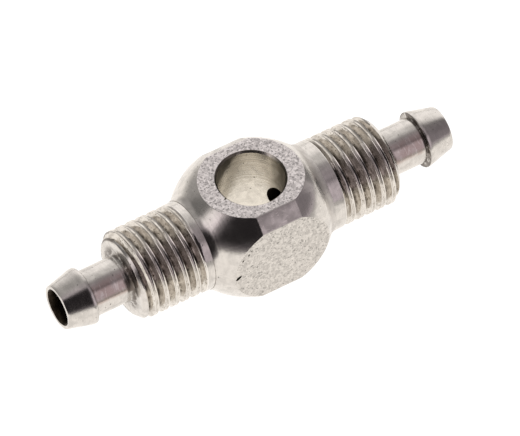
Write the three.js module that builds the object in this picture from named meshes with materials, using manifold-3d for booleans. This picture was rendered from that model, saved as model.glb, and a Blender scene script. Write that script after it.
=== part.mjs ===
// Double banjo ring fitting in stainless steel: a ball-shaped ring for a hollow banjo bolt, with two opposite
// threaded hose stems. Millimetres. The stems lie along X, the bolt's bore along Z, and the origin is the ring's centre.

import * as THREE from "three";
import { mergeVertices } from "three/addons/utils/BufferGeometryUtils.js";
import Module from "manifold-3d";

const wasm = await Module();
wasm.setup();

// Ring
const LAND_DIAMETER = 12.76; // the straight band round the middle of the ball, left at the four corners
const BALL_ARC_RADIUS = 7.38; // of the ball's flanks, which are flatter than a sphere
const BALL_ARC_SINK = 0.76; // how far past the axis that arc's centre lies
const FLAT_TO_FLAT = 10.1; // between the two seal faces, and between the two side flats
const BORE_DIAMETER = 6;
const BORE_EDGE_BREAK = 0.05;
const BALL_SEGMENTS = 96;

// Where a stem is seated in the ring
const SEAT_FACE_X = 5;
const SEAT_CLEARANCE = 0.05;
const SPIGOT_DIAMETER = 5.5;
const SPIGOT_LENGTH = 1.1;
const SPIGOT_END_GAP = 0.1;
const NECK_FILLET = 0.7;
const NECK_LAND = 0.07;

// Stem, from the ring outwards
const COLLAR_DIAMETER = 8;
const THREAD_DIAMETER = 8;
const THREAD_PITCH = 1;
const THREAD_START_X = 6.75;
const THREAD_END_X = 12.5;
const THREAD_LEAD = 0.55;
const THREAD_RUNOUT = 0.35;
const THREAD_SEGMENTS = 60;
const SHANK_DIAMETER = 4.1;
const SHANK_FILLET = 0.3;
const BARB_DIAMETER = 5.04;
const BARB_X = 16.15;
const BARB_LAND = 0.25;
const TIP_DIAMETER = 3.9;
const TIP_X = 18.7;
const PASSAGE_DIAMETER = 3;
const MOUTH_DIAMETER = 3.3;
const RIGHT_THREAD_PHASE = 0.12; // where the helix starts, in turns
const LEFT_THREAD_PHASE = 0.45;
const TURNED_SEGMENTS = 72;

const CUTTER_OVERRUN = 1;
const half = (size) => size / 2;
const radians = THREE.MathUtils.degToRad;

const ringSteel = new THREE.MeshStandardMaterial({ color: 0xb9b4ac, roughness: 0.45, metalness: 1 });
const stemSteel = new THREE.MeshStandardMaterial({ color: 0xb4afa6, roughness: 0.3, metalness: 1 });

// A closed three.js geometry as a solid that can be cut and joined.
function solidOf(geometry) {
  const bare = geometry.clone();
  bare.deleteAttribute("normal");
  bare.deleteAttribute("uv");
  const closed = mergeVertices(bare, 1e-5);
  const mesh = new wasm.Mesh({
    numProp: 3,
    vertProperties: closed.attributes.position.array,
    triVerts: new Uint32Array(closed.index.array),
  });
  return new wasm.Manifold(mesh);
}

// A solid as a named mesh.
function meshOf(name, solid, material) {
  const body = solid.getMesh();
  const geometry = new THREE.BufferGeometry();
  geometry.setAttribute("position", new THREE.BufferAttribute(body.vertProperties, 3));
  geometry.setIndex(new THREE.BufferAttribute(body.triVerts, 1));
  geometry.computeVertexNormals();
  const mesh = new THREE.Mesh(geometry, material);
  mesh.name = name;
  return mesh;
}

// A body turned round X from [x, radius] corners that start and end on the axis.
function turned(corners, segments) {
  const points = corners.map(([x, radius]) => new THREE.Vector2(radius, x));
  const geometry = new THREE.LatheGeometry(points, segments);
  geometry.rotateZ(-Math.PI / 2);
  return solidOf(geometry);
}

// A plain bar round X between two x positions.
function bar(fromX, toX, radius, segments) {
  const corners = [[fromX, 0], [fromX, radius], [toX, radius], [toX, 0]];
  return turned(corners, segments);
}

// Points on an arc in the [x, radius] plane, both ends included.
function arc(centreX, centreRadius, radius, fromDegrees, toDegrees, steps) {
  return Array.from({ length: steps + 1 }, (_, i) => {
    const angle = radians(fromDegrees + ((toDegrees - fromDegrees) * i) / steps);
    return [centreX + radius * Math.cos(angle), centreRadius + radius * Math.sin(angle)];
  });
}

// The ball: a straight land round the middle, a flank to each side, and a short concave neck where each collar goes in.
function ballWithNecks() {
  const lipRadius = half(COLLAR_DIAMETER) + SEAT_CLEARANCE + NECK_LAND;
  const filletRadius = lipRadius + NECK_FILLET;
  const filletX = Math.sqrt((BALL_ARC_RADIUS + NECK_FILLET) ** 2 - (filletRadius + BALL_ARC_SINK) ** 2);
  const touch = THREE.MathUtils.radToDeg(Math.atan2(filletRadius + BALL_ARC_SINK, filletX));
  const landEdge = THREE.MathUtils.radToDeg(Math.asin((half(LAND_DIAMETER) + BALL_ARC_SINK) / BALL_ARC_RADIUS));
  const flank = arc(0, -BALL_ARC_SINK, BALL_ARC_RADIUS, landEdge, touch, 20);
  const neck = arc(filletX, filletRadius, NECK_FILLET, touch + 180, 270, 8);
  const rightHalf = [...flank, ...neck.slice(1), [filletX, 0]];
  const leftHalf = rightHalf.map(([x, radius]) => [-x, radius]).reverse();
  return turned([...leftHalf, ...rightHalf], BALL_SEGMENTS);
}

// The square bar that the ball's seal faces and side flats are milled to.
function squareBar() {
  const length = LAND_DIAMETER + CUTTER_OVERRUN;
  return solidOf(new THREE.BoxGeometry(length, FLAT_TO_FLAT, FLAT_TO_FLAT));
}

// The bolt's bore along Z, with its edges broken at both seal faces.
function boltBore() {
  const face = half(FLAT_TO_FLAT);
  const radius = half(BORE_DIAMETER);
  const reach = face + CUTTER_OVERRUN;
  const wide = radius + BORE_EDGE_BREAK + CUTTER_OVERRUN;
  const corners = [
    [0, -reach],
    [wide, -reach],
    [radius, -face + BORE_EDGE_BREAK],
    [radius, face - BORE_EDGE_BREAK],
    [wide, reach],
    [0, reach],
  ];
  const points = corners.map(([r, z]) => new THREE.Vector2(r, z));
  const geometry = new THREE.LatheGeometry(points, BALL_SEGMENTS);
  geometry.rotateX(Math.PI / 2);
  return solidOf(geometry);
}

// The counterbored seat for the right stem: a wide step for the collar and a deeper one for the spigot.
function stemSeat() {
  const collarSeat = half(COLLAR_DIAMETER) + SEAT_CLEARANCE;
  const spigotSeat = half(SPIGOT_DIAMETER) + SEAT_CLEARANCE;
  const bottom = SEAT_FACE_X - SPIGOT_LENGTH - SPIGOT_END_GAP;
  const outside = half(LAND_DIAMETER) + CUTTER_OVERRUN;
  const corners = [
    [bottom, 0],
    [bottom, spigotSeat],
    [SEAT_FACE_X, spigotSeat],
    [SEAT_FACE_X, collarSeat],
    [outside, collarSeat],
    [outside, 0],
  ];
  return turned(corners, TURNED_SEGMENTS);
}

function banjoRing() {
  const reach = half(LAND_DIAMETER);
  const passage = bar(-reach, reach, half(PASSAGE_DIAMETER), TURNED_SEGMENTS);
  const rightSeat = stemSeat();
  const leftSeat = rightSeat.rotate([0, 0, 180]);
  const ring = ballWithNecks()
    .intersect(squareBar())
    .subtract(boltBore())
    .subtract(passage)
    .subtract(rightSeat)
    .subtract(leftSeat);
  return meshOf("banjo_ring", ring, ringSteel);
}

// A long rod with a right-hand ISO metric thread round X. Its rows follow the helix, so crests and roots stay sharp.
function threadedRod(phase) {
  const crest = half(THREAD_DIAMETER);
  const root = crest - 0.6134 * THREAD_PITCH;
  const profile = [[0, crest], [0.125, crest], [0.479, root], [0.646, root]];
  const turns = Math.ceil((THREAD_END_X - THREAD_START_X) / THREAD_PITCH) + 4;
  const firstX = THREAD_START_X + (phase - 3) * THREAD_PITCH;
  const rows = turns * profile.length;
  const positions = [];
  for (let column = 0; column < THREAD_SEGMENTS; column++) {
    const turn = column / THREAD_SEGMENTS;
    const angle = 2 * Math.PI * turn;
    for (let row = 0; row <= rows; row++) {
      const [along, radius] = profile[row % profile.length];
      const x = firstX + THREAD_PITCH * (turn + Math.floor(row / profile.length) + along);
      positions.push(x, radius * Math.cos(angle), radius * Math.sin(angle));
    }
  }
  const vertex = (column, row) => column * (rows + 1) + row;
  const faces = [];
  for (let column = 0; column < THREAD_SEGMENTS; column++) {
    const last = column === THREAD_SEGMENTS - 1;
    const next = last ? 0 : column + 1;
    const shift = last ? profile.length : 0;
    for (let row = 0; row + shift < rows; row++) {
      const [a, b] = [vertex(column, row), vertex(column, row + 1)];
      const [c, d] = [vertex(next, row + shift), vertex(next, row + shift + 1)];
      faces.push(a, c, b, b, c, d);
    }
  }
  // Each end is a fan from a point on the axis round the open edge, which steps back one pitch where the helix closes.
  const columns = Array.from({ length: THREAD_SEGMENTS }, (_, i) => i);
  const steps = Array.from({ length: profile.length }, (_, i) => i + 1);
  const startEdge = [
    ...columns.map((column) => vertex(column, 0)),
    ...steps.map((step) => vertex(0, profile.length + 1 - step)),
  ];
  const endEdge = [
    ...columns.map((column) => vertex(column, rows)),
    ...steps.map((step) => vertex(THREAD_SEGMENTS - 1, rows - step)),
  ];
  const startPoint = positions.length / 3;
  positions.push(firstX - THREAD_PITCH, 0, 0);
  const endPoint = positions.length / 3;
  positions.push(firstX + (turns + 2) * THREAD_PITCH, 0, 0);
  startEdge.forEach((v, i) => faces.push(startPoint, startEdge[(i + 1) % startEdge.length], v));
  endEdge.forEach((v, i) => faces.push(endPoint, v, endEdge[(i + 1) % endEdge.length]));
  const geometry = new THREE.BufferGeometry();
  geometry.setAttribute("position", new THREE.Float32BufferAttribute(positions, 3));
  geometry.setIndex(faces);
  return solidOf(geometry);
}

// The threaded length: the rod cut square at both ends, with a 45 degree lead at the outer one.
function threadedLength(phase) {
  const crest = half(THREAD_DIAMETER);
  const clear = crest + 0.2;
  const corners = [
    [THREAD_START_X - 0.3, 0],
    [THREAD_START_X - 0.3, clear],
    [THREAD_END_X - THREAD_LEAD - 0.2, clear],
    [THREAD_END_X, crest - THREAD_LEAD],
    [THREAD_END_X, 0],
  ];
  return threadedRod(phase).intersect(turned(corners, TURNED_SEGMENTS));
}

// Everything that is turned on a stem apart from the thread: spigot, collar, shank, barb and tip.
function turnedStem() {
  const core = half(THREAD_DIAMETER) - 0.7 * THREAD_PITCH;
  const shank = half(SHANK_DIAMETER);
  const fillet = arc(THREAD_END_X + SHANK_FILLET, shank + SHANK_FILLET, SHANK_FILLET, 180, 270, 6);
  const corners = [
    [SEAT_FACE_X - SPIGOT_LENGTH, 0],
    [SEAT_FACE_X - SPIGOT_LENGTH, half(SPIGOT_DIAMETER)],
    [SEAT_FACE_X, half(SPIGOT_DIAMETER)],
    [SEAT_FACE_X, half(COLLAR_DIAMETER)],
    [THREAD_START_X, half(COLLAR_DIAMETER)],
    [THREAD_START_X + THREAD_RUNOUT, core],
    [THREAD_END_X - 0.2, core],
    [THREAD_END_X, shank + SHANK_FILLET],
    ...fillet.slice(1),
    [BARB_X, shank],
    [BARB_X, half(BARB_DIAMETER)],
    [BARB_X + BARB_LAND, half(BARB_DIAMETER)],
    [TIP_X, half(TIP_DIAMETER)],
    [TIP_X, 0],
  ];
  return turned(corners, TURNED_SEGMENTS);
}

// The drilled passage through a stem, opened out slightly at the tip.
function stemPassage() {
  const passage = half(PASSAGE_DIAMETER);
  const mouth = half(MOUTH_DIAMETER);
  const corners = [
    [SEAT_FACE_X - SPIGOT_LENGTH - CUTTER_OVERRUN, 0],
    [SEAT_FACE_X - SPIGOT_LENGTH - CUTTER_OVERRUN, passage],
    [TIP_X - (mouth - passage), passage],
    [TIP_X, mouth],
    [TIP_X + CUTTER_OVERRUN, mouth],
    [TIP_X + CUTTER_OVERRUN, 0],
  ];
  return turned(corners, TURNED_SEGMENTS);
}

function hoseStem(name, phase) {
  const stem = turnedStem().add(threadedLength(phase)).subtract(stemPassage());
  return meshOf(name, stem, stemSteel);
}

const rightStem = hoseStem("right_hose_stem", RIGHT_THREAD_PHASE);
const leftStem = hoseStem("left_hose_stem", LEFT_THREAD_PHASE);
leftStem.rotation.z = Math.PI; // the same right-hand stem, turned round, not mirrored

const fitting = new THREE.Group();
fitting.add(banjoRing(), rightStem, leftStem);

export default fitting;
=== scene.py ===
# Looks for the double banjo ring fitting: a finely modelled ring and two hose stems in place of the
# CAD solids, their steel, and a bright studio. Metres, in the CAD frame: stems along X, the banjo
# bolt's bore along Z. The named sizes, and the places that the finishes work with, are millimetres.

import math

import bmesh
import bpy
from mathutils import Matrix, Vector, noise


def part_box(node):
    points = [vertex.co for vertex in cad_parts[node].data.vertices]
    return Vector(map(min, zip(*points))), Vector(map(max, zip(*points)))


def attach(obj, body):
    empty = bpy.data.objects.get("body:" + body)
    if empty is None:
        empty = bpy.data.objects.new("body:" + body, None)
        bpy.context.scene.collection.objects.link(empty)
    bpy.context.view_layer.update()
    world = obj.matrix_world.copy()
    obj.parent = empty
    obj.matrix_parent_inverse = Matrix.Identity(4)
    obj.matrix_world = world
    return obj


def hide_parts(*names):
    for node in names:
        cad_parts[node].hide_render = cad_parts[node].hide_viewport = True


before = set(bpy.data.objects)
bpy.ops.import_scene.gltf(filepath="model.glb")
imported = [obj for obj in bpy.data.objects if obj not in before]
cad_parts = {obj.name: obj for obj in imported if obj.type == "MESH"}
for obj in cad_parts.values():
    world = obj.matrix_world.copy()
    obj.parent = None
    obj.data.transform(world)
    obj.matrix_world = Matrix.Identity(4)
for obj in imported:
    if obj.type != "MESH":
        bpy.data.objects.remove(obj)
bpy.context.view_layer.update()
MM = 0.001

# ---------------------------------------------------------------- sizes, from the frame where it holds them
ring_low, ring_high = (Vector(corner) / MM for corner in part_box("banjo_ring"))
stem_low, stem_high = (Vector(corner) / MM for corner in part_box("right_hose_stem"))

FLAT = ring_high.z  # half the ring's thickness, and half its width over the side flats
NECK_X = ring_high.x
COLLAR_RADIUS = stem_high.y
SPIGOT_X = stem_low.x
TIP_X = stem_high.x
LAND_RADIUS = 6.38
BALL_ARC_RADIUS = 7.38
BALL_ARC_SINK = 0.76
BORE_RADIUS = 2.88
BORE_EDGE = 0.17
BORE_EDGE_SOFTNESS = 0.02
PASSAGE_RADIUS = 1.5
NECK_FILLET = 1.5
NECK_TOUCH_X = 5.25
SEAT_CLEARANCE = 0.012
SEAT_X = 5.0
SPIGOT_RADIUS = 2.75
SPIGOT_CHAMFER = 0.15
LEFT_THREAD_START_X = 6.5
RIGHT_THREAD_START_X = 6.85
THREAD_END_X = 12.5
THREAD_PITCH = 1.0
THREAD_RADIUS = COLLAR_RADIUS
THREAD_LEAD = 0.55
SHANK_RADIUS = 2.05
SHANK_FILLET = 0.4
BARB_RADIUS = 2.52
BARB_X = 16.15
BARB_LAND = 0.25
TIP_RADIUS = 1.95
MOUTH_RADIUS = 1.65


# ---------------------------------------------------------------- small helpers
def smooth_min(a, b, width):
    blend = max(width - abs(a - b), 0.0) / width
    return min(a, b) - blend * blend * width / 4


def smooth_max(a, b, width):
    return -smooth_min(-a, -b, width)


def spread(start, stop, count):
    """count + 1 evenly spaced numbers, both ends included."""
    return [start + (stop - start) * i / count for i in range(count + 1)]


def arc(centre, radius, start, stop, steps):
    """Points (x, r) on an arc, angles in degrees."""
    angles = [math.radians(a) for a in spread(start, stop, steps)]
    return [(centre[0] + radius * math.cos(a), centre[1] + radius * math.sin(a)) for a in angles]


def new_object(name, bm):
    bmesh.ops.recalc_face_normals(bm, faces=bm.faces)
    mesh = bpy.data.meshes.new(name)
    bm.to_mesh(mesh)
    bm.free()
    obj = bpy.data.objects.new(name, mesh)
    bpy.context.scene.collection.objects.link(obj)
    return obj


def on_axis(axis, along, radius, angle):
    across = (radius * math.cos(angle), radius * math.sin(angle))
    point = (along, *across) if axis == "X" else (*across, along)
    return Vector(point) * MM


def add_face(bm, corners):
    """Adds the face, unless repeated corners leave fewer than three."""
    unique = list(dict.fromkeys(corners))
    if len(unique) > 2:
        bm.faces.new(unique)


def lathe(name, outline, axis, segments):
    """A closed body turned from (along, radius) points in mm; the ends on the axis are closed."""
    bm = bmesh.new()
    rings = []
    for along, radius in outline:
        if radius < 1e-6:
            rings.append([bm.verts.new(on_axis(axis, along, 0, 0))])
            continue
        angles = [2 * math.pi * i / segments for i in range(segments)]
        rings.append([bm.verts.new(on_axis(axis, along, radius, a)) for a in angles])
    for low, high in zip(rings, rings[1:]):
        for i in range(segments):
            following = i + 1
            corners = [low[i % len(low)], low[following % len(low)]]
            corners += [high[following % len(high)], high[i % len(high)]]
            add_face(bm, corners)
    return new_object(name, bm)


def column_verts(bm, columns):
    """Vertices for columns of points round the X axis, each a list of (x, radius, angle) in mm."""
    return [[bm.verts.new(on_axis("X", x, r, a)) for x, r, a in column] for column in columns]


def grid_body(columns):
    """A body from columns of points round the X axis, closed by a face at each end."""
    bm = bmesh.new()
    verts = column_verts(bm, columns)
    for i, left in enumerate(verts):
        right = verts[(i + 1) % len(verts)]
        for j in range(len(left) - 1):
            bm.faces.new((left[j], right[j], right[j + 1], left[j + 1]))
    bm.faces.new([column[0] for column in verts])
    bm.faces.new([column[-1] for column in reversed(verts)])
    return bm


def cut(body, cutter):
    """Takes the cutter out of the body, and removes the cutter."""
    change = body.modifiers.new("cut", "BOOLEAN")
    change.operation = "DIFFERENCE"
    change.solver = "EXACT"
    change.object = cutter
    bpy.context.view_layer.update()
    graph = bpy.context.evaluated_depsgraph_get()
    mesh = bpy.data.meshes.new_from_object(body.evaluated_get(graph))
    body.modifiers.clear()
    old = body.data
    body.data = mesh
    bpy.data.meshes.remove(old)
    bpy.data.objects.remove(cutter)


def shade(obj, sharp_degrees):
    """Smooth faces, hard edges where they are sharper than the angle, and normals that keep flats flat."""
    bm = bmesh.new()
    bm.from_mesh(obj.data)
    bmesh.ops.remove_doubles(bm, verts=bm.verts, dist=0.0004 * MM)
    bmesh.ops.dissolve_degenerate(bm, edges=bm.edges, dist=0.0002 * MM)
    for face in bm.faces:
        face.smooth = True
    limit = math.radians(sharp_degrees)
    for edge in bm.edges:
        edge.smooth = len(edge.link_faces) == 2 and edge.calc_face_angle(0) < limit
    bm.to_mesh(obj.data)
    bm.free()
    weighted = obj.modifiers.new("weighted_normals", "WEIGHTED_NORMAL")
    weighted.keep_sharp = True


# ---------------------------------------------------------------- the finishes
class Nodes:
    """A short way to build a node tree: most methods make one node and return its output socket."""

    def __init__(self, tree):
        self.tree = tree

    def node(self, kind):
        return self.tree.nodes.new(kind).outputs[0]

    def put(self, socket, value):
        if isinstance(value, bpy.types.NodeSocket):
            self.tree.links.new(value, socket)
        elif isinstance(value, (tuple, list)) and len(value) == 3 and socket.type == "RGBA":
            socket.default_value = (*value, 1)
        else:
            socket.default_value = value

    def math(self, operation, a, b=0.0):
        made = self.tree.nodes.new("ShaderNodeMath")
        made.operation = operation
        self.put(made.inputs[0], a)
        self.put(made.inputs[1], b)
        return made.outputs[0]

    def times(self, *values):
        product = values[0]
        for value in values[1:]:
            product = self.math("MULTIPLY", product, value)
        return product

    def ramp(self, value, start, stop, low=0.0, high=1.0):
        """Eases from low to high as the value goes from start to stop."""
        made = self.tree.nodes.new("ShaderNodeMapRange")
        made.interpolation_type = "SMOOTHSTEP"
        if start > stop:
            start, stop, low, high = stop, start, high, low
        numbers = {"Value": value, "From Min": start, "From Max": stop, "To Min": low, "To Max": high}
        for name, number in numbers.items():
            self.put(made.inputs[name], number)
        return made.outputs[0]

    def mix(self, factor, a, b):
        made = self.tree.nodes.new("ShaderNodeMix")
        self.put(made.inputs[0], factor)
        self.put(made.inputs[2], a)
        self.put(made.inputs[3], b)
        return made.outputs[0]

    def mix_colour(self, factor, a, b):
        made = self.tree.nodes.new("ShaderNodeMix")
        made.data_type = "RGBA"
        self.put(made.inputs[0], factor)
        self.put(made.inputs[6], a)
        self.put(made.inputs[7], b)
        return made.outputs[2]


class Steel(Nodes):
    """One finish of the steel: colour, gloss and relief by the place on the object in millimetres."""

    def __init__(self, name):
        self.material = bpy.data.materials.new(name)
        self.material.use_nodes = True
        super().__init__(self.material.node_tree)
        self.shader = self.tree.nodes["Principled BSDF"]
        self.shader.inputs["Metallic"].default_value = 1
        scaled = self.tree.nodes.new("ShaderNodeVectorMath")
        scaled.operation = "SCALE"
        coordinates = self.tree.nodes.new("ShaderNodeTexCoord")
        self.put(scaled.inputs[0], coordinates.outputs["Object"])
        scaled.inputs["Scale"].default_value = 1 / MM
        self.place = scaled.outputs[0]
        split = self.tree.nodes.new("ShaderNodeSeparateXYZ")
        self.put(split.inputs[0], self.place)
        self.x, self.y, self.z = split.outputs

    def grain(self, scale, detail=2.0, stretch=(1, 1, 1), shift=0.0, distortion=0.0):
        """Noise from 0 to 1 with about `scale` features in a millimetre."""
        moved = self.tree.nodes.new("ShaderNodeMapping")
        self.put(moved.inputs[0], self.place)
        moved.inputs["Location"].default_value = (shift, shift * 0.7, shift * 0.3)
        moved.inputs["Scale"].default_value = stretch
        made = self.tree.nodes.new("ShaderNodeTexNoise")
        self.put(made.inputs["Vector"], moved.outputs[0])
        made.inputs["Scale"].default_value = scale
        made.inputs["Detail"].default_value = detail
        made.inputs["Distortion"].default_value = distortion
        return made.outputs[0]

    def tool_lines(self, along, scale, detail=4.0, wander=0.15):
        """The fine parallel lines a turning tool leaves, noise in one direction that wanders a little."""
        made = self.tree.nodes.new("ShaderNodeTexNoise")
        made.noise_dimensions = "1D"
        self.put(made.inputs["W"], self.math("ADD", along, self.math("MULTIPLY", self.grain(0.6), wander)))
        made.inputs["Scale"].default_value = scale
        made.inputs["Detail"].default_value = detail
        return made.outputs[0]

    def radius(self):
        """Distance from the X axis."""
        flattened = self.tree.nodes.new("ShaderNodeVectorMath")
        flattened.operation = "MULTIPLY"
        self.put(flattened.inputs[0], self.place)
        flattened.inputs[1].default_value = (0, 1, 1)
        length = self.tree.nodes.new("ShaderNodeVectorMath")
        length.operation = "LENGTH"
        self.put(length.inputs[0], flattened.outputs[0])
        return length.outputs["Value"]

    def finish(self, colour, roughness, relief):
        """Sets colour and roughness, and stacks (height, depth in mm) layers of relief."""
        self.put(self.shader.inputs["Base Color"], colour)
        self.put(self.shader.inputs["Roughness"], roughness)
        normal = None
        for height, depth in relief:
            bump = self.tree.nodes.new("ShaderNodeBump")
            bump.inputs["Distance"].default_value = depth * MM
            self.put(bump.inputs["Height"], height)
            if normal:
                self.put(bump.inputs["Normal"], normal)
            normal = bump.outputs[0]
        self.put(self.shader.inputs["Normal"], normal)
        return self.material


BRIGHT = (0.66, 0.63, 0.595)


def toned(factor, colour=BRIGHT):
    return tuple(c * factor for c in colour)


def pitted_steel(name, colour, pit_share, unevenness, pit_depth):
    """A rough flat: uneven grey, with small dark pits and a few bright flecks."""
    s = Steel(name)
    patches = s.grain(3.1, 3, distortion=0.8)
    grains = s.grain(5.2, 2, shift=5.623, distortion=0.5)
    pits = s.ramp(grains, pit_share + 0.05, pit_share - 0.05)
    flecks = s.ramp(s.grain(4.4, 2, shift=9.1), 0.6, 0.68)
    tone = s.mix_colour(s.ramp(patches, 0.36, 0.64), toned(1 - unevenness, colour), colour)
    tone = s.mix_colour(flecks, tone, toned(1 + unevenness / 2, colour))
    tone = s.mix_colour(s.times(pits, 0.8), tone, toned(0.35, colour))
    roughness = s.ramp(patches, 0.3, 0.7, 0.5, 0.38)
    height = s.math("SUBTRACT", s.grain(3.6, 4, shift=1.3), s.times(pits, 0.5))
    return s.finish(tone, roughness, ((height, pit_depth), (s.grain(14, 2), pit_depth * 0.2)))


def satin_steel(name):
    """The turned land at the ring's corners: even and silky, with a few faint lighter scratches."""
    s = Steel(name)
    cloud = s.grain(1.1, 3)
    scratches = s.ramp(s.grain(1.6, 2, stretch=(1, 5, 0.4), shift=5.3, distortion=1.5), 0.62, 0.7)
    tone = s.mix_colour(s.ramp(cloud, 0.35, 0.65), toned(0.74), toned(0.98))
    tone = s.mix_colour(s.times(scratches, 0.8), tone, toned(1.25))
    lines = s.tool_lines(s.x, 6)
    return s.finish(tone, s.ramp(cloud, 0.3, 0.7, 0.36, 0.26), ((lines, 0.004), (s.grain(9, 2), 0.006)))


def turned_steel(name, across, colour, roughness, line_depth, smudge, line_scale=5.5, grime_and_shade=None):
    """A turned surface: clear reflections broken up by fine lines round the axis, with faint smudges."""
    s = Steel(name)
    lines = s.tool_lines(getattr(s, across), line_scale)
    cloud = s.grain(1.3, 4, shift=2.2, distortion=0.6)
    specks = s.ramp(s.grain(4.8, 1, shift=6.4), 0.28, 0.22)
    tone = s.mix_colour(s.ramp(cloud, 0.3, 0.62), toned(1 - smudge, colour), colour)
    tone = s.mix_colour(s.times(s.ramp(lines, 0.35, 0.65), smudge), tone, toned(0.7, colour))
    tone = s.mix_colour(specks, tone, toned(0.25, colour))
    gloss = s.ramp(cloud, 0.3, 0.7, roughness + 0.06, roughness)
    if grime_and_shade:
        tone, gloss = grime_and_shade(s, tone, gloss)
    return s.finish(tone, gloss, ((lines, line_depth), (s.grain(7, 2), line_depth * 0.7)))


def neck_sheen(s, tone, gloss):
    """The right neck is duller than the rest of the ball."""
    return tone, s.math("ADD", gloss, s.ramp(s.x, 4.7, 5.3, 0, 0.3))


def stem_marks_and_shade(s, tone, gloss):
    """Tarnished, scuffed streaks on the shanks' upper front side, partly painted reflection; dirty patches with
    painted shade in the corners at both ends of them, a painted shadow beside the step, painted shade on its
    rim.
    """
    out = s.math("ABSOLUTE", s.x)
    on_shank = s.times(s.ramp(out, THREAD_END_X, THREAD_END_X + 0.2), s.ramp(out, BARB_X, BARB_X - 0.1))
    on_shank = s.times(on_shank, s.ramp(s.y, -0.4, -1.1), s.ramp(s.z, 0.45, 0.75))
    # Partly painted reflection: the brownish tint and the lighter scuffed streaks lie only on the shanks' upper
    # front side.
    tarnish_and_reflection = s.times(on_shank, s.ramp(s.grain(1.1, 3, shift=14.2), 0.36, 0.58, 0.45, 1))
    tone = s.mix_colour(tarnish_and_reflection, tone, (0.49, 0.41, 0.375))
    scuffs_and_glints = s.ramp(s.grain(1.5, 3, stretch=(3.4, 0.8, 0.8), shift=17.5, distortion=0.7), 0.56, 0.64)
    tone = s.mix_colour(s.times(scuffs_and_glints, on_shank, 0.4), tone, toned(1.25))
    radius = s.radius()
    # Painted shade: the corners by the step and behind the barb are darkened, broken up by dirty patches.
    near_step = s.times(s.ramp(out, THREAD_END_X + 0.45, THREAD_END_X + 0.1), s.ramp(radius, 3.1, 2.4))
    near_step = s.times(near_step, s.ramp(out, THREAD_END_X - 0.1, THREAD_END_X))
    near_barb = s.times(s.ramp(out, BARB_X - 0.3, BARB_X - 0.06), s.ramp(out, BARB_X + 0.04, BARB_X + 0.01))
    corners = s.math("MAXIMUM", near_step, near_barb)
    dirt_and_shade = s.times(corners, s.ramp(s.grain(2.1, 3, shift=21.3), 0.35, 0.55, 0.25, 1))
    # Painted shadow: a dark ragged band on the front of the shank beside the step.
    ragged = s.math("ADD", out, s.times(s.grain(1.9, 3, shift=23.1), 0.5))
    step_shadow_outer = s.ramp(ragged, THREAD_END_X + 1, THREAD_END_X + 0.75)
    step_shadow_inner = s.ramp(out, THREAD_END_X, THREAD_END_X + 0.1)
    painted_step_shadow = s.times(step_shadow_outer, step_shadow_inner, s.ramp(radius, 2.95, 2.6), s.ramp(s.y, -0.8, -1.2),
                    s.ramp(s.z, 0.3, 0.6), s.ramp(s.z, 1.75, 1.4))
    # Painted shade: a dark arc on the upper back of the thread's lead, just before the step.
    step_rim_shade = s.times(s.ramp(radius, 3.25, 3.42), s.ramp(out, THREAD_END_X - 0.7, THREAD_END_X - 0.3),
                       s.ramp(s.z, 0.6, 1.6), s.ramp(s.y, 0.9, 1.7))
    dirt_and_shade = s.math("MAXIMUM", dirt_and_shade, s.math("MAXIMUM", painted_step_shadow, step_rim_shade))
    tone = s.mix_colour(s.times(dirt_and_shade, 0.9), tone, (0.12, 0.1, 0.085))
    return tone, s.math("ADD", gloss, s.times(dirt_and_shade, 0.2))


def bore_marks_and_shade(s, tone, gloss):
    """Dark turning marks, and painted shade: dark olive, in ragged patches.

    The painted shade lies down the right of the bore and in a wedge under its left rim, as the camera sees it
    at rest: `side` is that left to right direction, fixed to the object.
    """
    side = s.math("SUBTRACT", s.math("MULTIPLY", s.x, 0.85), s.math("MULTIPLY", s.y, 0.52))
    ragged = s.math("MULTIPLY", s.math("SUBTRACT", s.grain(1.2, 4, shift=25.7), 0.5), 0.9)
    side = s.math("ADD", side, ragged)
    right = s.times(s.ramp(side, 1.3, 2.6), s.ramp(s.z, -1.5, 2.5, 0.4, 1), 0.95)
    wedge = s.times(s.ramp(s.math("SUBTRACT", s.z, s.math("MULTIPLY", side, 1.27)), 6, 6.8), 0.85)
    painted_bore_shade = s.math("MAXIMUM", right, wedge)
    marks = s.ramp(s.tool_lines(s.z, 3.1, 3, 0.1), 0.4, 0.3)
    tone = s.mix_colour(s.times(marks, s.ramp(s.z, 0.5, 2.5), 0.4), tone, (0.22, 0.2, 0.16))
    # Painted shade: the dark olive patches down the right of the bore and in the wedge under its left rim.
    tone = s.mix_colour(painted_bore_shade, tone, (0.1, 0.088, 0.064))
    return tone, s.math("ADD", gloss, s.times(painted_bore_shade, 0.15))


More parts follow.
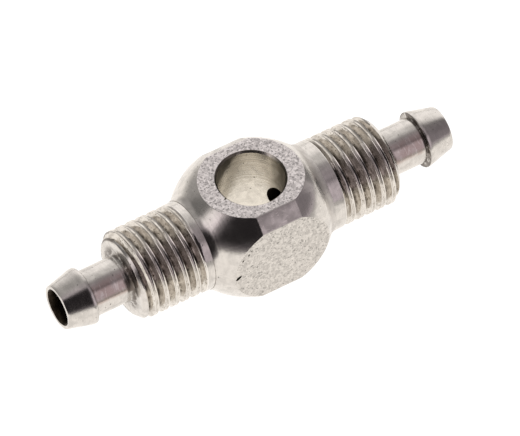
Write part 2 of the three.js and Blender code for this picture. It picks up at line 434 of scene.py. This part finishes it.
def thread_steel(name):
    """The thread: bright worn crests, and dull brownish flanks, with dirty patches and painted shade in the
    grooves.
    """
    s = Steel(name)
    radius = s.radius()
    depth = s.ramp(radius, THREAD_RADIUS - 0.035, THREAD_RADIUS - 0.075)
    patches = s.grain(1.4, 3, stretch=(3, 0.8, 0.8), shift=4.1, distortion=0.4)
    fine = s.grain(4.5, 3, stretch=(2.4, 0.8, 0.8), shift=7.7)
    flank = s.mix_colour(s.ramp(patches, 0.35, 0.65), (0.49, 0.455, 0.41), (0.69, 0.655, 0.605))
    flank = s.mix_colour(s.ramp(fine, 0.4, 0.32), flank, (0.24, 0.21, 0.17))
    # Partly painted shade: the grooves darken towards their roots, broken up by dirty patches.
    groove = s.ramp(radius, THREAD_RADIUS - 0.35, THREAD_RADIUS - 0.6)
    dirt_and_shade = s.times(groove, s.ramp(s.grain(1.3, 3, shift=8.8), 0.4, 0.65))
    flank = s.mix_colour(s.times(dirt_and_shade, 0.75), flank, (0.08, 0.066, 0.05))
    tone = s.mix_colour(depth, toned(1.12), flank)
    chips = s.ramp(s.grain(2.4, 2, shift=12.5), 0.27, 0.23)
    tone = s.mix_colour(chips, tone, (0.1, 0.08, 0.06))
    roughness = s.mix(depth, 0.12, s.ramp(patches, 0.3, 0.7, 0.18, 0.1))
    lines = s.tool_lines(s.x, 9)
    return s.finish(tone, roughness, ((lines, 0.004), (fine, 0.009)))


def passage_painted_dark(name):
    """The inside of the drilled passages and seats, and the dents: dull steel painted near black, as painted
    shade.
    """
    s = Steel(name)
    cloud = s.grain(1.7, 3)
    tone = s.mix_colour(s.ramp(cloud, 0.35, 0.65), (0.035, 0.026, 0.018), (0.085, 0.066, 0.045))
    roughness = s.ramp(cloud, 0.3, 0.7, 0.6, 0.45)
    return s.finish(tone, roughness, ((s.tool_lines(s.x, 4), 0.006), (s.grain(8), 0.006)))


FINISHES = {
    "turned_ball": turned_steel("turned_ball", "x", BRIGHT, roughness=0.15, line_depth=0.0035,
                                smudge=0.14, grime_and_shade=neck_sheen),
    "pitted_seal_faces": pitted_steel("pitted_seal_faces", (0.83, 0.785, 0.775), pit_share=0.4,
                                      unevenness=0.3, pit_depth=0.03),
    "pitted_side_flats": pitted_steel("pitted_side_flats", (0.66, 0.63, 0.59), pit_share=0.36,
                                      unevenness=0.2, pit_depth=0.02),
    "satin_facets": satin_steel("satin_facets"),
    "bored_wall": turned_steel("bored_wall", "z", (0.62, 0.583, 0.52), roughness=0.22, line_depth=0.008,
                               smudge=0.16, line_scale=3.6, grime_and_shade=bore_marks_and_shade),
    "turned_stem": turned_steel("turned_stem", "x", BRIGHT, roughness=0.15, line_depth=0.0045,
                                smudge=0.2, grime_and_shade=stem_marks_and_shade),
    "cut_thread": thread_steel("cut_thread"),
    "passage": passage_painted_dark("passage"),
}


# ---------------------------------------------------------------- the ring
EDGE_SOFTNESS = 0.09  # how wide the edges between the flats and the land are blended
TURNED_EDGE_SOFTNESS = 0.02  # the same where the milled faces meet the turned ball
SKIN_COLUMNS_PER_FACE = 26
ROWS_AROUND_EDGE = (0.08, 0.05, 0.03, 0.015, 0, -0.015, -0.03, -0.05, -0.08, -0.12)


def bar_radius(angle):
    """The ring's radius at its middle: two pairs of milled flats, and a turned land at their corners."""
    flat = FLAT / max(abs(math.cos(angle)), abs(math.sin(angle)))
    return smooth_min(flat, LAND_RADIUS, EDGE_SOFTNESS)


def turned_radius(x):
    """The ball's arc, whose centre lies past the axis, and the hollow neck at each end of it."""
    x = abs(x)
    if x <= NECK_TOUCH_X:
        return math.sqrt(BALL_ARC_RADIUS**2 - x * x) - BALL_ARC_SINK
    lean = math.asin(NECK_TOUCH_X / BALL_ARC_RADIUS)
    reach = BALL_ARC_RADIUS + NECK_FILLET
    centre_x, centre_r = reach * math.sin(lean), reach * math.cos(lean) - BALL_ARC_SINK
    return centre_r - math.sqrt(NECK_FILLET**2 - (x - centre_x) ** 2)


def skin_column(angle):
    """One line of the ring's outside from neck to neck, with more points where ball and flats meet."""
    bar = bar_radius(angle)
    edge = math.sqrt(BALL_ARC_RADIUS**2 - (bar + BALL_ARC_SINK) ** 2)
    outer = spread(NECK_X, NECK_TOUCH_X, 10)[:-1] + spread(NECK_TOUCH_X, edge + 0.12, 12)
    around_edge = [edge + step for step in ROWS_AROUND_EDGE]
    inner = spread(edge - 0.25, 0, 8)
    half = outer + around_edge + inner
    xs = half + [-x for x in reversed(half[:-1])]
    return [(x, smooth_min(turned_radius(x), bar, TURNED_EDGE_SOFTNESS), angle) for x in xs]


def skin_angles():
    """Angles round X, closer together beside each edge between a flat and the land."""
    corner = math.acos(FLAT / LAND_RADIUS)
    corners = []
    for quarter in range(4):
        turn = quarter * math.pi / 2
        corners += [turn + corner, turn + math.pi / 2 - corner]
    close = [math.radians(d) for d in (0, 0.12, 0.27, 0.5, 0.9)]
    angles = []
    for here, following in zip(corners, corners[1:] + [corners[0] + 2 * math.pi]):
        start, stop = here + close[-1], following - close[-1]
        angles += [here + c for c in close[:-1]]
        angles += spread(start, stop, SKIN_COLUMNS_PER_FACE)
        angles += [following - c for c in reversed(close[1:-1])]
    return angles


def bore_outline():
    """The tool that cuts the bolt bore, with a chamfer at each face, as (z, radius) points."""
    soft = BORE_EDGE_SOFTNESS
    edge = [(FLAT - BORE_EDGE - soft, BORE_RADIUS), (FLAT - BORE_EDGE + soft / 2, BORE_RADIUS + soft),
            (FLAT - soft, BORE_RADIUS + BORE_EDGE - soft / 2), (FLAT + 1, BORE_RADIUS + BORE_EDGE)]
    lower = [(-z, r) for z, r in reversed(edge)]
    return [(-FLAT - 1, 0)] + lower + edge + [(FLAT + 1, 0)]


FLAT_NICKS = (  # dents in the front flat: x, z, length, width, depth, turn in degrees
    (-4.26, -0.12, 0.66, 0.32, 0.3, 33),
    (-3.28, 2.26, 0.21, 0.17, 0.14, 60),
    (-2.99, 2.6, 0.16, 0.13, 0.1, 20),
    (-3.82, 1.82, 0.3, 0.16, 0.07, 50),
)
RIM_NICK = (-2.88, -0.82, 0.5, 0.19, 0.5, 16)  # in the bore's upper edge: x, y, length, width, depth, turn


def nick_tool(place, length, width, depth, turn, axis):
    """A small uneven ellipsoid for a dent in the face square to the axis, turned round that axis."""
    half = (length / 2, depth, width / 2) if axis == "Y" else (length / 2, width / 2, depth)
    bm = bmesh.new()
    bmesh.ops.create_icosphere(bm, subdivisions=3, radius=1)
    for vert in bm.verts:
        bump = 1 + 0.18 * noise.noise(vert.co * 2 + Vector(place))
        vert.co = vert.co * Vector(half) * bump * MM
    sign = -1 if axis == "Y" else 1
    spin = Matrix.Rotation(sign * math.radians(turn), 3, axis)
    bmesh.ops.rotate(bm, verts=bm.verts, cent=(0, 0, 0), matrix=spin)
    bmesh.ops.translate(bm, verts=bm.verts, vec=Vector(place) * MM)
    return new_object("nick_tool", bm)


RING_FINISHES = (
    "turned_ball",
    "pitted_seal_faces",
    "pitted_side_flats",
    "satin_facets",
    "bored_wall",
    "passage",
)


def ring_finish(centre, normal):
    """Which of the ring's finishes a face has, by its middle in mm and its normal."""
    from_bore = math.hypot(centre.x, centre.y)
    from_axis = math.hypot(centre.y, centre.z)
    in_neck = from_axis < COLLAR_RADIUS + 0.1 and abs(centre.x) < NECK_X + 0.01 and from_bore < NECK_X
    in_nick = FLAT - 0.4 < abs(centre.y) < FLAT - 0.03 and math.hypot(centre.x, centre.z) < 4.4
    if from_bore < BORE_RADIUS + BORE_EDGE - 0.003 and abs(normal.z) < 0.99:
        return "bored_wall"
    if in_neck and abs(normal.z) < 0.999:
        return "passage" if from_axis < COLLAR_RADIUS + 2 * SEAT_CLEARANCE else "turned_ball"
    if abs(centre.z) > FLAT - 0.01 and abs(normal.z) > 0.9:
        return "pitted_seal_faces"
    # The dents take the near-black passage finish: painted shade.
    if in_nick and abs(centre.z) < 3.8:
        return "passage"
    if abs(centre.y) > FLAT - 0.01 and abs(normal.y) > 0.96:
        return "pitted_side_flats"
    if abs(normal.x) < 0.15 and abs(normal.y * normal.z) > 0.46:
        return "satin_facets"
    return "turned_ball"


STEM_FINISHES = ("turned_stem", "cut_thread", "passage")


def stem_finish(centre, normal):
    radius = math.hypot(centre.y, centre.z)
    if radius < PASSAGE_RADIUS + 0.08:
        return "passage"
    lead = THREAD_RADIUS - THREAD_LEAD + THREAD_END_X - abs(centre.x)
    start = RIGHT_THREAD_START_X if centre.x > 0 else LEFT_THREAD_START_X
    if start < abs(centre.x) < THREAD_END_X and radius < lead - 0.03:
        return "cut_thread"
    return "turned_stem"


def sort_faces(obj, finishes, finish_of):
    """Gives the object a slot for each finish, and each face its own."""
    for name in finishes:
        obj.data.materials.append(FINISHES[name])
    for face in obj.data.polygons:
        face.material_index = finishes.index(finish_of(face.center / MM, face.normal))


def build_ring():
    columns = [skin_column(angle) for angle in skin_angles()]
    ring = new_object("ring_body", grid_body(columns))
    cut(ring, lathe("bore_tool", bore_outline(), "Z", 256))
    collar_seat = COLLAR_RADIUS + SEAT_CLEARANCE
    spigot_seat = SPIGOT_RADIUS + SEAT_CLEARANCE
    bottom = SPIGOT_X - 0.1
    seat = [(0, PASSAGE_RADIUS), (bottom, PASSAGE_RADIUS), (bottom, spigot_seat), (SEAT_X, spigot_seat),
            (SEAT_X, collar_seat), (NECK_X + 1, collar_seat)]
    left = [(-x, r) for x, r in reversed(seat[1:])]
    outline = [(-NECK_X - 1, 0)] + left + seat + [(NECK_X + 1, 0)]
    cut(ring, lathe("seat_tool", outline, "X", 160))
    for x, z, *size in FLAT_NICKS:
        cut(ring, nick_tool((x, -FLAT, z), *size, "Y"))
    x, y, *size = RIM_NICK
    cut(ring, nick_tool((x, y, FLAT), *size, "Z"))
    shade(ring, 28)
    sort_faces(ring, RING_FINISHES, ring_finish)
    return ring


# ---------------------------------------------------------------- the stems
STEM_COLUMNS = 192
COLLAR_STEPS = 8
FILLET_STEPS = 8
ROUNDING = 0.04
STEP_FACE_RADII = (3.1, 2.7)  # rows that keep the faces of the step and the barb flat
BARB_FACE_RADII = (2.2, 2.35)
STEP_EDGE = 0.02
# Half of a rolled crest, from the valley in its middle over the ridge beside it: along, height.
CREST = [(0.0, -0.075), (0.1, -0.062), (0.14, -0.018), (0.16, 0.0), (0.185, -0.022)]
CREST_DROP = 0.015
THREAD_WEAR = 0.012
RUNOUT_SLOPE = 1.1
ROOT_DEPTH = 0.6134 * THREAD_PITCH
FLANK_SLOPE = math.tan(math.radians(60))
THREAD_ROWS = (0, 0.1, 0.14, 0.16, 0.185, 0.21, 0.27, 0.34, 0.4, 0.45, 0.5)


def thread_height(along):
    """Height above the nominal crest, by the distance along from the middle of the crest."""
    for (a, ha), (b, hb) in zip(CREST, CREST[1:]):
        if along <= b:
            return ha + (hb - ha) * (along - a) / (b - a)
    start, height = CREST[-1]
    flank = height - FLANK_SLOPE * (along - start)
    return smooth_max(flank, -ROOT_DEPTH, 0.12)


def thread_radius(x, angle, phase, start):
    turn = (x / THREAD_PITCH - angle / (2 * math.pi) - phase) % 1.0
    along = min(turn, 1 - turn) * THREAD_PITCH
    wear = THREAD_WEAR * noise.noise(Vector((x * 3, 2.5 * math.cos(angle), 2.5 * math.sin(angle))))
    cut_radius = THREAD_RADIUS - CREST_DROP + thread_height(along) + wear
    runout = THREAD_RADIUS - max(x - start - 0.05, 0) * RUNOUT_SLOPE
    lead = THREAD_RADIUS - THREAD_LEAD + (THREAD_END_X - x)
    shaped = smooth_max(cut_radius, runout, 0.05)
    return min(smooth_min(shaped, lead, 0.06), THREAD_RADIUS)


def thread_column(angle, phase, start):
    """One line along the thread, its points riding with the helix and pushed in between the two ends."""
    turn = angle / (2 * math.pi)
    first = math.floor(start / THREAD_PITCH) - 2
    last = math.ceil(THREAD_END_X / THREAD_PITCH) + 1
    steps = THREAD_ROWS + tuple(1 - s for s in reversed(THREAD_ROWS[1:-1]))
    xs = [(whole + turn + phase + step) * THREAD_PITCH for whole in range(first, last) for step in steps]
    return [min(max(x, start), THREAD_END_X) for x in xs]


def seated_end():
    """The spigot and the collar's inner edge, which sit in the ring, as (x, radius) points."""
    return [
        (SPIGOT_X, PASSAGE_RADIUS),
        (SPIGOT_X, SPIGOT_RADIUS - SPIGOT_CHAMFER),
        (SPIGOT_X + SPIGOT_CHAMFER, SPIGOT_RADIUS),
        (SEAT_X, SPIGOT_RADIUS),
        (SEAT_X, COLLAR_RADIUS - ROUNDING),
        (SEAT_X + ROUNDING, COLLAR_RADIUS),
    ]


def stem_column(angle, phase, start):
    """One line of a stem, from the spigot along its outside to the tip and back through the passage."""
    column = seated_end()
    column += [(x, COLLAR_RADIUS) for x in spread(SEAT_X + 0.3, start - 0.1, COLLAR_STEPS)]
    column += [(x, thread_radius(x, angle, phase, start)) for x in thread_column(angle, phase, start)]
    end_radius = column[-1][1]
    fillet_centre = (THREAD_END_X + SHANK_FILLET, SHANK_RADIUS + SHANK_FILLET)
    fillet = arc(fillet_centre, SHANK_FILLET, 180, 270, FILLET_STEPS)
    step_x = THREAD_END_X + STEP_EDGE
    column += [(step_x, min(end_radius - 0.03, THREAD_RADIUS - THREAD_LEAD - 0.03))]
    column += [(step_x, r) for r in STEP_FACE_RADII]
    column += [(x + STEP_EDGE * (1 - i / FILLET_STEPS), r) for i, (x, r) in enumerate(fillet)]
    column += [(x, SHANK_RADIUS) for x in spread(THREAD_END_X + 0.5, BARB_X - 0.08, 12)]
    column += arc((BARB_X - 0.05, SHANK_RADIUS + 0.05), 0.05, 270, 360, 3)
    column += [(BARB_X, r) for r in (*BARB_FACE_RADII, BARB_RADIUS - ROUNDING)]
    column += [(BARB_X + ROUNDING * 0.3, BARB_RADIUS - ROUNDING * 0.3), (BARB_X + ROUNDING, BARB_RADIUS)]
    cone_start, cone_end = BARB_X + BARB_LAND, TIP_X - 0.06
    slope = (TIP_RADIUS - BARB_RADIUS) / (TIP_X - cone_start)
    column += [(x, BARB_RADIUS + slope * (x - cone_start)) for x in spread(cone_start, cone_end, 12)]
    column += [(TIP_X - 0.018, TIP_RADIUS - 0.012), (TIP_X, TIP_RADIUS - 0.06)]
    column += [(TIP_X, MOUTH_RADIUS + 0.04), (TIP_X - 0.04, MOUTH_RADIUS)]
    column += [(TIP_X - 0.2, PASSAGE_RADIUS)]
    column += [(x, PASSAGE_RADIUS) for x in spread(TIP_X - 0.6, SPIGOT_X + 0.5, 24)]
    return [(x, r, angle) for x, r in column]


def build_stem(name, phase, start, turn):
    """A hose stem along +X, turned about Z by the given angle once it is made."""
    step = 2 * math.pi / STEM_COLUMNS
    bm = bmesh.new()
    verts = column_verts(bm, [stem_column(i * step, phase, start) for i in range(STEM_COLUMNS)])
    count = len(verts[0])
    rows_per_pitch = len(THREAD_ROWS) * 2 - 2
    thread_first = len(seated_end()) + COLLAR_STEPS + 1
    thread_last = thread_first + len(thread_column(0, phase, start)) - 1
    for i, left in enumerate(verts):
        right = verts[(i + 1) % STEM_COLUMNS]
        if i == STEM_COLUMNS - 1:
            # Once round, the thread has moved on by a pitch, so its rows join the next turn's.
            thread = [right[min(j + rows_per_pitch, thread_last)] for j in range(thread_first, thread_last + 1)]
            right = right[:thread_first] + thread + right[thread_last + 1:]
        for j in range(count):
            k = (j + 1) % count
            add_face(bm, [left[j], right[j], right[k], left[k]])
    bmesh.ops.remove_doubles(bm, verts=bm.verts, dist=0.0005 * MM)
    bmesh.ops.rotate(bm, verts=bm.verts, cent=(0, 0, 0), matrix=Matrix.Rotation(turn, 3, "Z"))
    stem = new_object(name, bm)
    shade(stem, 50)
    sort_faces(stem, STEM_FINISHES, stem_finish)
    return stem


# ---------------------------------------------------------------- the scene
CAMERA_AZIMUTH = 31.5  # degrees from the front, and above it
CAMERA_ELEVATION = 50
CAMERA_DISTANCE = 0.61
CAMERA_LENS = 507.5
AIM_RIGHT = 0.75
AIM_DOWN = 0.08
FLOOR_GAP = 0.00002
WHITE = (1, 1, 1)


def build_camera():
    azimuth, elevation = math.radians(CAMERA_AZIMUTH), math.radians(CAMERA_ELEVATION)
    away = Vector((-math.sin(azimuth) * math.cos(elevation), -math.cos(azimuth) * math.cos(elevation),
                   math.sin(elevation)))
    right = Vector((math.cos(azimuth), -math.sin(azimuth), 0))
    up = away.cross(right)
    aim = AIM_RIGHT * MM * right - AIM_DOWN * MM * up
    data = bpy.data.cameras.new("camera")
    data.sensor_width = 36
    data.lens = CAMERA_LENS
    data.clip_start, data.clip_end = 0.01, 10
    camera = bpy.data.objects.new("camera", data)
    camera.location = aim + CAMERA_DISTANCE * away
    camera.rotation_euler = Matrix((right, up, away)).transposed().to_euler()
    bpy.context.scene.collection.objects.link(camera)
    bpy.context.scene.camera = camera


def build_studio():
    """The room that the steel mirrors, its brightness by direction, while the camera sees plain white.

    It has a bright wall behind, a grey ceiling, and on the camera's side a dim part with a dark corner.
    """
    world = bpy.data.worlds.new("studio")
    bpy.context.scene.world = world
    world.use_nodes = True
    tree = world.node_tree
    tree.nodes.clear()
    n = Nodes(tree)
    split = tree.nodes.new("ShaderNodeSeparateXYZ")
    n.put(split.inputs[0], n.node("ShaderNodeTexCoord"))
    x, y, z = split.outputs
    room = n.ramp(z, 0.6, 0.76, 0.66, 0.25)
    room = n.mix(n.ramp(y, -0.55, -0.42), room, 0.37)
    overhead = n.times(n.ramp(z, 0.88, 0.98), n.ramp(x, 0.2, 0))
    room = n.mix(overhead, room, 0.56)
    room = n.times(room, n.ramp(x, 0.45, 0.66, 1, 0.48))
    doorway = n.times(n.ramp(y, -0.22, -0.1), n.ramp(z, 0.45, 0.36))
    doorway = n.math("MAXIMUM", doorway, n.ramp(z, 0.12, 0.06))
    room = n.mix(n.ramp(x, 0.55, 0.8), room, n.mix(doorway, 0.235, 0.5))
    wall = n.mix(n.ramp(x, 0.3, -0.1), n.ramp(z, 0.8, 0.5, 0.86, 1.27), n.ramp(z, 0.85, 0.2, 0.54, 0.95))
    room = n.mix(n.ramp(y, 0.04, 0.38), room, wall)
    door = n.times(n.ramp(y, 0.03, 0.08), n.ramp(z, 0.4, 0.25))
    door = n.times(n.ramp(x, 0.86, 0.94), door)
    room = n.mix(door, room, 0.24)
    dark_corner = n.times(n.ramp(x, 0.25, -0.05), n.ramp(y, -0.1, -0.36))
    room = n.mix(dark_corner, room, n.ramp(z, 0.25, 0, 0.02, 0.16))
    grey_card = n.times(n.ramp(x, 0.1, -0.3), n.ramp(y, 0.2, 0.35))
    room = n.mix(grey_card, room, n.ramp(x, -0.5, -0.7, 0.44, 0.22))
    strip = n.times(n.ramp(y, -0.2, -0.05), n.ramp(y, 0.3, 0.15))
    strip = n.times(n.ramp(x, -0.55, -0.8), strip)
    room = n.mix(strip, room, 1.15)
    seen = n.node("ShaderNodeLightPath")
    level = n.mix(seen, room, 1.1)
    tint = n.mix_colour(n.ramp(y, -0.4, 0.4), (1.05, 0.93, 1.0), (1.0, 0.97, 0.95))
    tint = n.mix_colour(seen, tint, WHITE)
    back = tree.nodes.new("ShaderNodeBackground")
    n.put(back.inputs["Strength"], level)
    n.put(back.inputs["Color"], tint)
    out = tree.nodes.new("ShaderNodeOutputWorld")
    tree.links.new(back.outputs[0], out.inputs[0])
    bpy.context.scene.view_settings.view_transform = "Standard"
    build_floor()


def build_floor():
    """A glowing table for the steel to mirror, brighter under the ring and dimmer far out and behind it.

    The camera sees it plain white.
    """
    bm = bmesh.new()
    bmesh.ops.create_grid(bm, x_segments=1, y_segments=1, size=1.5)
    floor = new_object("studio_floor", bm)
    floor.location.z = -FLAT * MM - FLOOR_GAP
    material = bpy.data.materials.new("white_table")
    material.use_nodes = True
    n = Nodes(material.node_tree)
    split = n.tree.nodes.new("ShaderNodeSeparateXYZ")
    coordinates = n.tree.nodes.new("ShaderNodeTexCoord")
    n.put(split.inputs[0], coordinates.outputs["Object"])
    x, y = split.outputs[0], split.outputs[1]
    forward = n.times(y, -1)
    side = n.math("DIVIDE", x, n.math("MAXIMUM", forward, 0.001))
    far = n.times(n.ramp(forward, 0.02, 0.042), n.ramp(side, -0.45, -0.2))
    glow = n.mix(far, 1.16, n.ramp(side, -0.1, 0.25, 0.22, 0.56))
    behind_left = n.times(n.ramp(x, 0.005, -0.01), n.ramp(y, 0.035, 0.065))
    glow = n.mix(behind_left, glow, 0.66)
    from_middle = n.math("SQRT", n.math("ADD", n.times(x, x), n.times(y, y)))
    glow = n.math("ADD", glow, n.ramp(from_middle, 0.004, 0.003, 0, 0.24))
    glow = n.mix(n.ramp(from_middle, 0.1, 0.3), glow, 0.4)
    seen = n.node("ShaderNodeLightPath")
    shader = material.node_tree.nodes["Principled BSDF"]
    shader.inputs["Base Color"].default_value = (0.12, 0.12, 0.12, 1)
    shader.inputs["Roughness"].default_value = 0.9
    shader.inputs["Specular IOR Level"].default_value = 0
    n.put(shader.inputs["Emission Color"], n.mix_colour(seen, (1, 0.965, 0.925), WHITE))
    n.put(shader.inputs["Emission Strength"], n.mix(seen, glow, 1.12))
    floor.data.materials.append(material)


ring = build_ring()
right_stem = build_stem("right_stem_body", 0.12, RIGHT_THREAD_START_X, 0)
left_stem = build_stem("left_stem_body", 0.45, LEFT_THREAD_START_X, math.pi)
for piece, node, slot in ((ring, "banjo_ring", "ring_steel"), (right_stem, "right_hose_stem", "stem_steel"),
                          (left_stem, "left_hose_stem", "stem_steel")):
    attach(piece, "root")
    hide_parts(node)
build_camera()
build_studio()
